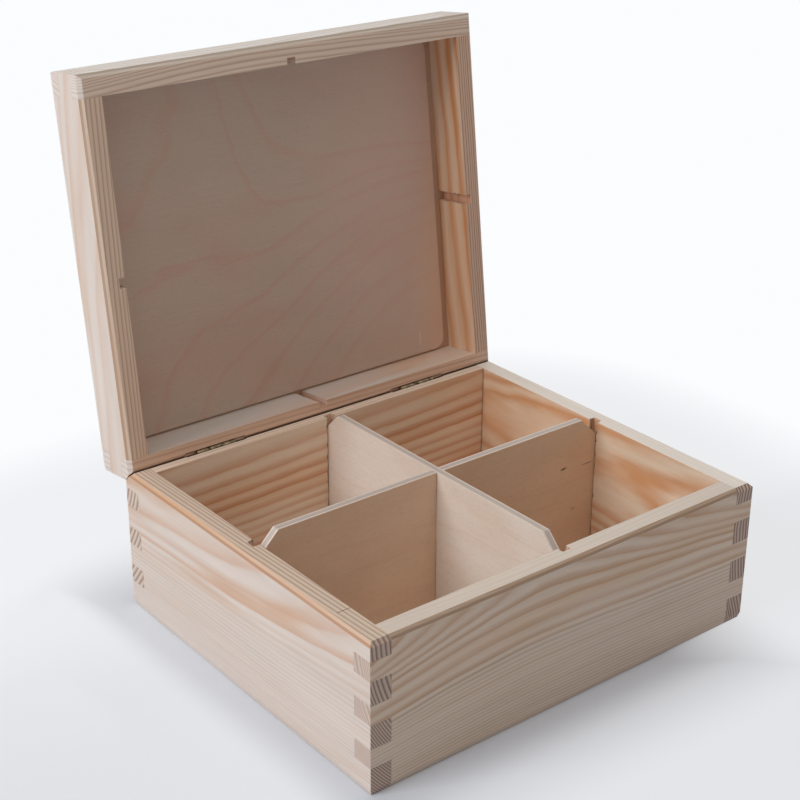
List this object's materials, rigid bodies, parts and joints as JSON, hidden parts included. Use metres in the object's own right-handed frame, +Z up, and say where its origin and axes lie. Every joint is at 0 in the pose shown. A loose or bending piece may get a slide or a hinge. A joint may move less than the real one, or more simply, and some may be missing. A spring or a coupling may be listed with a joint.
{
  "type": "wooden compartment box",
  "caption": "Finger-jointed pine tea box with a hinged lid that stands open, and crossed plywood dividers that lift out of slots in the walls.",
  "frame": {"origin": "middle of the underside of the base", "axes": "+X to the right along the front wall, +Y from the front wall to the hinged back wall, +Z up; the lid is stored open"},
  "size_m": [0.21, 0.2204, 0.2404],
  "materials": {
    "pine": "planed and sanded, untreated",
    "plywood": "sanded face veneer, untreated",
    "brass": "thin bright plating"
  },
  "bodies": {
    "base": {"base_front_wall": "pine", "base_back_wall": "pine", "base_left_wall": "pine", "base_right_wall": "pine", "base_bottom_panel": "plywood", "left_hinge_base_leaf": "brass", "left_hinge_pin": "brass", "right_hinge_base_leaf": "brass", "right_hinge_pin": "brass"},
    "lid": {"lid_front_wall": "pine", "lid_back_wall": "pine", "lid_left_wall": "pine", "lid_right_wall": "pine", "lid_top_panel": "plywood", "left_hinge_lid_leaf": "brass", "right_hinge_lid_leaf": "brass"},
    "long_divider": {"long_divider": "plywood"},
    "cross_divider": {"cross_divider": "plywood"}
  },
  "joints": [
    {"name": "lid_hinge", "type": "hinge", "parent": "base", "child": "lid", "pos_m": [0, 0.08495, 0.068], "axis": [-1, 0, 0], "range_deg": [-96.97, 0]},
    {"name": "long_divider_lift", "type": "slide", "parent": "base", "child": "long_divider", "axis": [0, 0, 1], "range_m": [0, 0.0075]},
    {"name": "cross_divider_lift", "type": "slide", "parent": "long_divider", "child": "cross_divider", "axis": [0, 0, 1], "range_m": [0, 0.0075]}
  ]
}
